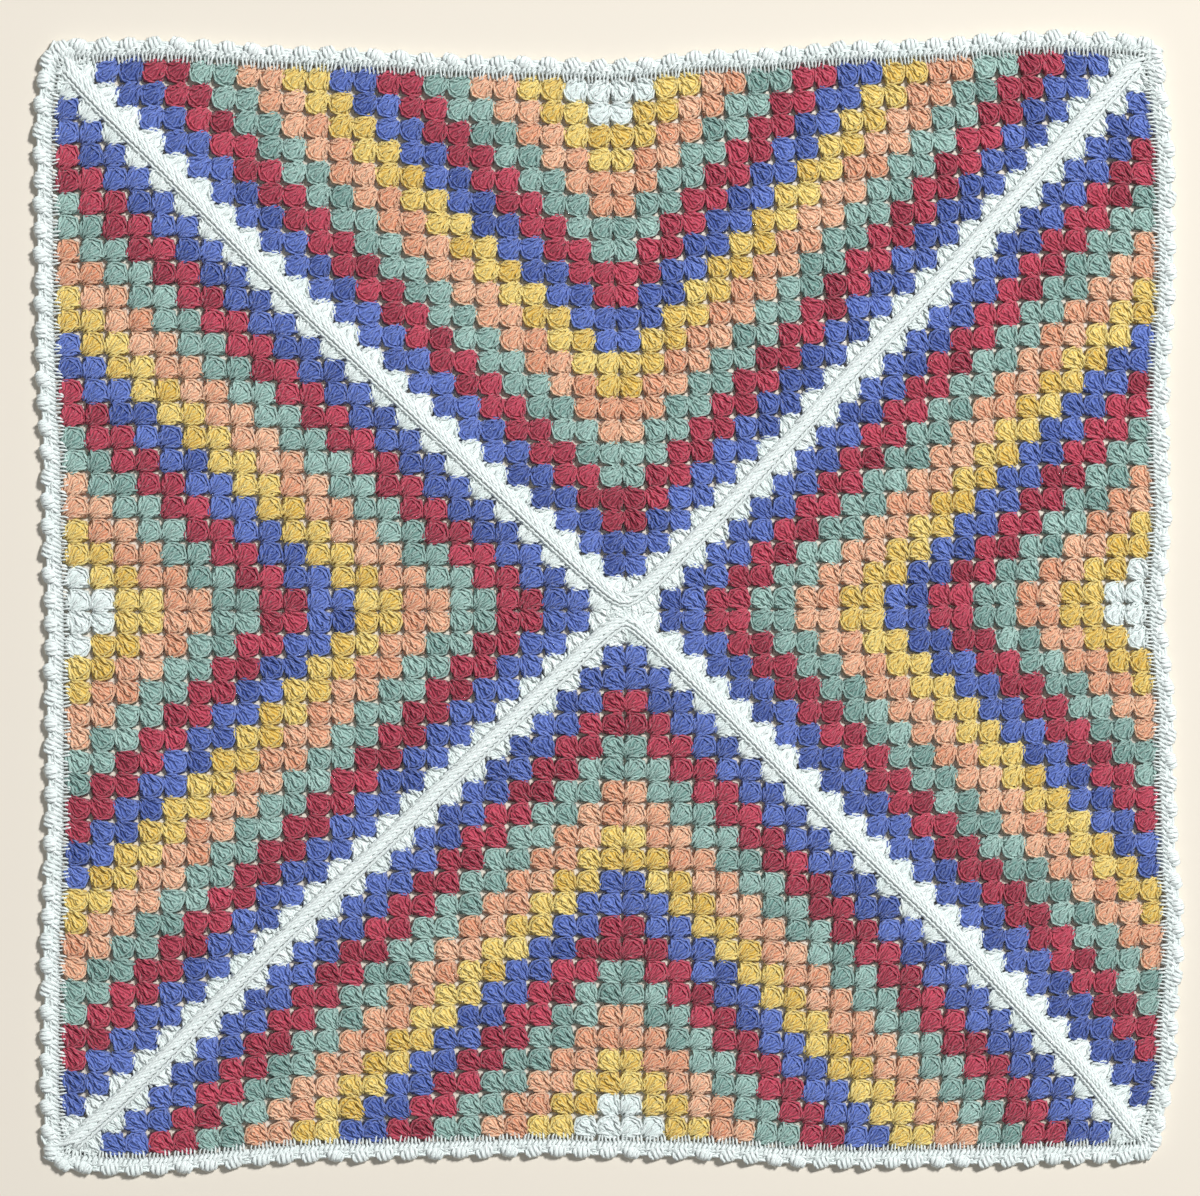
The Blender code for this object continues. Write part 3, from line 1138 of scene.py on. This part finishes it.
    def _lay_bobble(self, work: YarnWork, rng: random.Random) -> None:
        """Lays one bobble: a soft core, and strands over it from the chain to the rim.

        Args:
            work: Where to lay it.
            rng: Source of the small differences.
        """
        centre = Vector(self.bobble_centre)
        wide, deep, high = self.bobble_radii
        least, more, slowness = self.bobble_gather
        turn = Matrix.Rotation(rng.uniform(-self.bobble_turn, self.bobble_turn), 3, "Z")
        body = Matrix.Translation(centre) @ Matrix.Diagonal((wide, deep, high, 1))
        work.pad(body, ROUND_SIDES, ROUND_POWER, Vector(), 0.0)
        for side in steps(self.bobble_strands, -1):
            across = side * self.bobble_spread
            reach = math.sqrt(1 - self.bobble_roundness * across**2)
            path = []
            for share in steps(self.bobble_rings, -1):
                angle = math.radians(self.bobble_wrap * share)
                x = wide * across * (least + more * math.cos(angle / slowness))
                y = self.bobble_depth * deep * reach * math.sin(angle)
                z = self.bobble_height * high * reach * math.cos(angle)
                path.append(centre + turn @ Vector((x, y, z)))
            work.lay(path, self.strand_radius * self.bobble_girth)


@dataclass(frozen=True)
class FloorFinish:
    """Matt painted board: pale, warm and plain."""

    colour: str = "e9e1d3"
    roughness: float = 0.8

    def material(self) -> bpy.types.Material:
        """Builds the floor's material.

        Returns:
            The material.
        """
        material = bpy.data.materials.new("pale_painted_board")
        material.use_nodes = True
        shader = material.node_tree.nodes["Principled BSDF"]
        shader.inputs["Base Color"].default_value = linear(self.colour)
        shader.inputs["Roughness"].default_value = self.roughness
        return material


@dataclass
class Studio:
    """The floor, the lights and the camera straight above."""

    frame_width: float = 0.852  # what the photograph spans at the floor
    view_centre: tuple = (-0.006, 0.0035)
    camera_height: float = 3.0
    sensor: float = 36.0
    floor_size: float = 16.0
    floor_drop: float = 0.2 * MM
    lamps: tuple = (
        # name, place, length of its sides, and watts
        ("key_light", (3.84, 3.36, 6.4), 1.28, 722.0),
        ("fill_light", (-1.2, -0.6, 4.4), 3.0, 18.0),
    )
    air_colour: str = "f2f5fa"
    air_strength: float = 0.17

    def build(self) -> None:
        """Sets up the floor, the lights and the camera."""
        mesh = bmesh.new()
        bmesh.ops.create_grid(mesh, x_segments=1, y_segments=1, size=self.floor_size / 2)
        bmesh.ops.translate(mesh, verts=mesh.verts, vec=(0, 0, -self.floor_drop))
        data = bpy.data.meshes.new("floor")
        mesh.to_mesh(data)
        mesh.free()
        data.materials.append(FloorFinish().material())
        floor = bpy.data.objects.new("floor", data)
        bpy.context.scene.collection.objects.link(floor)

        for lamp in self.lamps:
            self._add_light(*lamp)
        world = bpy.data.worlds.new("pale_studio")
        world.use_nodes = True
        air = world.node_tree.nodes["Background"]
        air.inputs["Color"].default_value = linear(self.air_colour)
        air.inputs["Strength"].default_value = self.air_strength
        bpy.context.scene.world = world

        camera = bpy.data.objects.new("camera", bpy.data.cameras.new("camera"))
        camera.data.sensor_width = self.sensor
        camera.data.lens = self.sensor * self.camera_height / self.frame_width
        camera.location = (*self.view_centre, self.camera_height)
        bpy.context.scene.collection.objects.link(camera)
        bpy.context.scene.camera = camera
        bpy.context.scene.view_settings.view_transform = "Standard"

    def _add_light(self, name: str, place: tuple, size: float, power: float) -> None:
        """Adds a square soft light that points at the blanket's middle.

        Args:
            name: The light's name.
            place: Where it hangs.
            size: The length of its sides.
            power: Its power in watts.
        """
        lamp = bpy.data.lights.new(name, "AREA")
        lamp.size = size
        lamp.energy = power
        light = bpy.data.objects.new(name, lamp)
        light.location = place
        light.rotation_euler = Vector(place).to_track_quat("Z", "Y").to_euler()
        bpy.context.scene.collection.objects.link(light)


def main() -> None:
    """Builds the blanket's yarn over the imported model, and the studio round it."""
    logging.basicConfig(level=logging.INFO, format="%(name)s: %(message)s")
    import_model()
    outline = Outline()
    materials = [FINISHES[yarn].material() for yarn in Yarn]
    Studio().build()

    patterns = Cluster().patterns(seed=23)
    last = ClosingCluster().patterns(seed=29)
    panels = []
    for quarter_turns, side in enumerate(("top", "left", "bottom", "right")):
        panels.append(Panel(side, quarter_turns, outline).build(patterns, last, materials))
    joins = [
        JoiningRidge("upper_join", True, outline).build(last, materials[:1]),
        JoiningRidge("lower_join", False, outline).build(last, materials[:1]),
    ]
    edging = Edging(outline).build(materials[:1])

    for piece in (*(piece for pair in panels for piece in pair), *joins, edging):
        log.info("%s: %d triangles", piece.name, sum(len(p.vertices) - 2 for p in piece.data.polygons))


if __name__ == "__main__":
    main()
